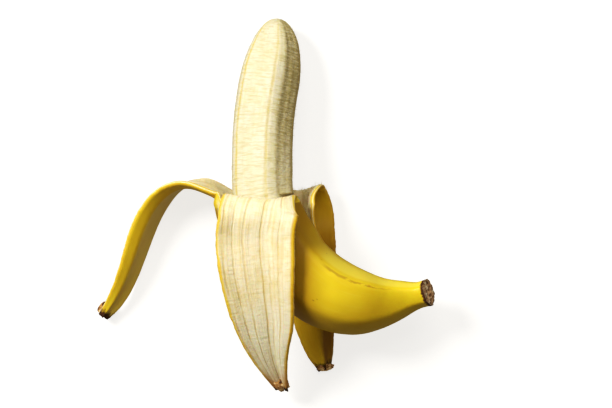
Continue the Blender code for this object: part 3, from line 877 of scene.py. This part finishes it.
def flesh_material():
    """Banana flesh: pale cream, yellower in the seams, with fine rings across it and painted shade
    beside the middle seam.
    """
    n = Nodes("banana_flesh")
    lie, (_, run, angle) = n.attribute("lie")
    rings = n.noise(n.scaled(lie, (0.13, 0.95, 0.0)), 1.0, 2.0, 0.65)
    broad = n.noise(n.scaled(lie, (0.35, 0.03, 0.0)), 1.0, 3.0, 0.6)
    blotch = n.noise(n.scaled(lie, (0.11, 0.06, 0.0)), 1.0, 4.0, 0.6)
    colour = n.mix(n.span(blotch, 0.35, 0.7), (0.76, 0.72, 0.55), (0.71, 0.66, 0.44))
    colour = n.mix(n.math("MULTIPLY", n.span(rings, 0.46, 0.64), 0.6), colour, (0.60, 0.53, 0.27))
    colour = n.mix(n.math("MULTIPLY", n.span(broad, 0.55, 0.70), 0.30), colour, (0.66, 0.60, 0.31))
    drift = n.span(n.noise(n.scaled(lie, (0.0, 0.06, 0.0)), 1.0), 0.0, 1.0, -3.0, 3.0, False)
    bent = n.math("ADD", angle, drift)
    seams = None
    for seam, strength in zip(FLESH_SEAMS, (0.8, 0.6, 0.9, 0.5, 0.5, 0.5)):
        off = n.math("ABSOLUTE", n.math("SUBTRACT", bent, seam))
        line = n.span(off, 0.8, 4.2, strength, 0.0)
        seams = line if seams is None else n.math("MAXIMUM", seams, line)
    broken = n.span(n.noise(n.scaled(lie, (0.3, 0.2, 0.0)), 1.0, 3.0), 0.3, 0.6, 0.45, 1.0)
    # Painted shade: the facet beside the middle seam is painted duller and darker, more so on its
    # rings, most of all further up.
    painted_flesh_shade = n.math("MULTIPLY", n.span(angle, 10.0, 30.0), n.span(angle, 58.0, 74.0, 1.0, 0.0))
    painted_flesh_shade = n.math("MULTIPLY", painted_flesh_shade, n.span(run, 12.0, 40.0, 0.1, 1.0))
    painted_flesh_shade = n.math("MULTIPLY", painted_flesh_shade, n.span(rings, 0.36, 0.60, 0.35, 0.85))
    colour = n.mix(painted_flesh_shade, colour, (0.42, 0.36, 0.17))
    colour = n.mix(n.math("MULTIPLY", seams, broken), colour, (0.66, 0.54, 0.20))
    height = n.math("ADD", rings, n.math("MULTIPLY", broad, 0.5))
    normal = n.bump(height, 0.8, 0.0006)
    return n.finish(
        colour,
        n.span(blotch, 0.3, 0.7, 0.45, 0.6),
        normal,
        Subsurface_Weight=0.35,
        Subsurface_Radius=(1.0, 0.75, 0.4),
        Subsurface_Scale=0.003,
        Specular_IOR_Level=0.4,
    )


def plain(name, colour, roughness):
    """A slightly varied plain material."""
    n = Nodes(name)
    place = n.new("ShaderNodeTexCoord").outputs["Object"]
    varied = n.noise(place, 900.0, 3.0)
    dim = tuple(c * 0.7 for c in colour)
    return n.finish(n.mix(n.span(varied, 0.3, 0.7), colour, dim), roughness)


def fibre_mesh(name, roots, directions, lengths, widths, surface):
    """Many thin tapered fibres joined in one mesh. Each is a closed three-sided spike."""
    points, faces = [], []
    for root, way, length, width in zip(roots, directions, lengths, widths):
        way = way / np.linalg.norm(way)
        if min(root[2], root[2] + way[2] * length) < 0.2:
            continue
        side = np.cross(way, (0.31, 0.52, 0.79))
        side /= np.linalg.norm(side)
        other = np.cross(way, side)
        base = len(points)
        for k in range(3):
            turn = k * 2 * math.pi / 3
            points.append(root + (side * math.cos(turn) + other * math.sin(turn)) * width)
        points.append(root + way * length)
        faces += [(base + 2, base + 1, base)]
        faces += [(base + k, base + (k + 1) % 3, base + 3) for k in range(3)]
    return mesh_object(name, points, faces, {}, None, {"fibre": surface})


def area_light(name, place, target, size, power, colour):
    """A soft round light aimed at a point."""
    data = bpy.data.lights.new(name, "AREA")
    data.shape = "DISK"
    data.size = size
    data.energy = power
    data.color = colour
    made = bpy.data.objects.new(name, data)
    made.location = place
    made.rotation_euler = (Vector(target) - Vector(place)).to_track_quat("-Z", "Y").to_euler()
    bpy.context.scene.collection.objects.link(made)
    return made


def build_peel():
    """The fine peel."""
    points, faces, kinds, paint = peel_data()
    points[:, 2] = np.maximum(points[:, 2], 0.0)
    materials = {
        "skin": skin_material(),
        "pith": pith_material(),
        "edge": edge_material(),
        "cut": cut_material(),
    }
    peel = mesh_object("banana_peel", points, faces, paint, kinds, materials)
    across, run, side = paint["lie"].T
    _, tip, stem = paint["rim"].T
    lumps = wobble(points, 8.0, 2.0)
    ribs = wobble(np.column_stack((across * 0.8, run * 0.02, 0 * run)), 1.0, 9.0)
    rings = wobble(np.column_stack((across * 0.06, run * 0.8, 0 * run)), 1.0, 4.0, 2)
    dry = np.exp(-np.maximum(tip, 0) / 2.2) + np.exp(-np.maximum(stem, 0) / 1.2)
    crumple = wobble(points, 1.5, 17.0)
    amount = np.where(side > 0.5, 0.14 * ribs + 0.06 * rings, 0.10 * lumps)
    amount = amount + crumple * dry * 0.5
    closed = (side > 0.5) & (run < -12)
    roughen(peel, np.where(closed | (stem < -0.4), 0.0, amount))
    return peel


def build_flesh():
    """The fine flesh."""
    points, faces, paint = flesh_data()
    return mesh_object("banana_flesh", points, faces, paint, None, {"flesh": flesh_material()})


def build_flesh_fibres(rng):
    """Torn threads on the flesh, along its seams and sides."""
    count = 1500
    s = COLLAR + 2 + rng.random(count) ** 0.9 * (FULL - COLLAR - 3)
    seams = np.array(FLESH_SEAMS)[rng.integers(0, 6, count)] + rng.normal(0, 6, count)
    angle = np.where(rng.random(count) < 0.5, rng.random(count) * 360, seams)
    centre, out, reach, groove, _ = flesh_surface(s, angle)
    roots = centre + out * (reach + groove - 0.15)[:, None]
    lean = rng.normal(0, 0.6, (count, 3))
    ways = out + lean
    lengths = 0.5 + rng.random(count) ** 2 * 1.5
    widths = 0.05 + rng.random(count) * 0.06
    surface = plain("flesh_threads", (0.90, 0.80, 0.50), 0.6)
    return fibre_mesh("flesh_threads", roots, ways, lengths, widths, surface)


def build_crest_fibres(rng):
    """The frayed pith on the crest of the back strip's loop and at the collar's folds."""
    roots, ways, lengths, widths = [], [], [], []
    for strip, low, high, count, tall in ((2, 3.0, 13.0, 700, 2.6), (0, 1.0, 9.0, 150, 0.7)):
        along = low + rng.random(count) * (high - low)
        share = rng.random(count)
        angle = TEARS[strip] + (TEARS[strip + 1] - TEARS[strip]) * share
        inner = torn(strip, along, angle, True)
        outer = torn(strip, along, angle, False)
        normal = unit(inner - outer)
        roots.append(inner - normal * 0.2)
        ways.append(normal + rng.normal(0, 0.45, (count, 3)))
        lengths.append(0.3 + rng.random(count) ** 2 * tall)
        widths.append(0.05 + rng.random(count) * 0.10)
    surface = plain("pith_threads", (0.88, 0.72, 0.34), 0.65)
    return fibre_mesh(
        "pith_threads",
        np.vstack(roots),
        np.vstack(ways),
        np.concatenate(lengths),
        np.concatenate(widths),
        surface,
    )


def build_blossom_ends():
    """The dried remains of the blossom on the three tips."""
    points, faces = [], []
    for strip, back, radii, drop in (
        (0, 2.6, (4.0, 2.0, 4.2), (0.2, 0.6, 0.0)),
        (1, 2.6, (1.9, 2.6, 3.6), (-1.0, 2.2, 0.5)),
        (2, 1.2, (4.4, 1.2, 1.8), (0.0, 0.0, 0.6)),
    ):
        table, _ = STRIPS[strip]
        value, tangent = at(table, np.array((table[0][-1] - back,)))
        axes = frames_of(tangent, value[:, 5:8])[0]
        ball = bmesh.new()
        bmesh.ops.create_icosphere(ball, subdivisions=4, radius=1.0)
        shape = np.array([v.co for v in ball.verts])
        order = [[v.index for v in f.verts] for f in ball.faces]
        ball.free()
        rough = 1 + 0.22 * wobble(shape + strip * 5.0, 0.8, 3.0) + 0.10 * wobble(shape, 0.25, 6.0)
        shape = (shape * np.array(radii) * rough[:, None]) @ axes.T + value[0, :3] + np.array(drop)
        faces += [[i + len(points) for i in f] for f in order]
        points += list(shape)
    points = np.array(points)
    points[:, 2] = np.maximum(points[:, 2], 0.0)
    n = Nodes("dry_blossom")
    place = n.new("ShaderNodeTexCoord").outputs["Object"]
    coarse = n.noise(place, 320.0, 4.0, 0.6)
    fine = n.noise(place, 1100.0, 4.0, 0.7)
    colour = n.mix(n.span(coarse, 0.34, 0.50), (0.09, 0.035, 0.012), (0.52, 0.29, 0.10))
    colour = n.mix(n.span(coarse, 0.50, 0.58), colour, (0.92, 0.72, 0.44))
    surface = n.finish(colour, 0.75, n.bump(fine, 0.8, 0.0005))
    return mesh_object("blossom_ends", points, faces, {}, None, {"dry": surface})


def floor_and_lights():
    """A plain pale floor, soft studio light and the camera."""
    bpy.ops.mesh.primitive_plane_add(size=12.0, location=(0, 0, 0))
    floor = bpy.context.object
    floor.name = "floor"
    n = Nodes("pale_floor")
    n.surface.inputs["Base Color"].default_value = (0.36, 0.36, 0.36, 1)
    n.surface.inputs["Roughness"].default_value = 0.9
    n.surface.inputs["Specular IOR Level"].default_value = 0.1
    n.surface.inputs["Emission Color"].default_value = (1, 1, 1, 1)
    n.surface.inputs["Emission Strength"].default_value = 0.74
    floor.data.materials.append(n.material)
    floor.visible_diffuse = False
    floor.visible_glossy = False
    area_light("key_light", (-0.70, 0.46, 0.87), (0, 0, 0.02), 0.40, 14.0, (1.0, 0.98, 0.94))
    area_light("fill_light", (0.18, 0.85, 1.05), (0, 0, 0.02), 1.0, 7.0, (1.0, 0.96, 0.88))
    world = bpy.data.worlds.new("studio")
    world.use_nodes = True
    world.node_tree.nodes["Background"].inputs["Color"].default_value = (1.0, 0.86, 0.60, 1)
    world.node_tree.nodes["Background"].inputs["Strength"].default_value = 0.25
    bpy.context.scene.world = world
    camera_data = bpy.data.cameras.new("camera")
    camera = bpy.data.objects.new("camera", camera_data)
    camera.location = (0.020, 0.0005, CAMERA_HEIGHT)
    camera_data.lens = 36.0 * (CAMERA_HEIGHT - CAMERA_FOCUS) / VIEW_WIDTH
    camera_data.clip_end = 50.0
    bpy.context.scene.collection.objects.link(camera)
    bpy.context.scene.camera = camera
    view = bpy.context.scene.view_settings
    view.view_transform = "Standard"
    view.use_curve_mapping = True
    curve_map = view.curve_mapping
    for where, value in ((0.10, 0.06), (0.25, 0.205), (0.5, 0.5)):
        curve_map.curves[3].points.new(where, value)
    curve_map.update()


def main():
    """Make the pieces, the floor, the lights and the camera."""
    rng = np.random.default_rng(SEED)
    pieces = (
        (build_peel(), "peel", "peel"),
        (build_flesh(), "flesh", "flesh"),
        (build_flesh_fibres(rng), None, "flesh"),
        (build_crest_fibres(rng), None, "peel"),
        (build_blossom_ends(), None, "peel"),
    )
    for piece, node, slot in pieces:
        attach(piece, "root")
        if node:
            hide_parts(node)
    floor_and_lights()


main()
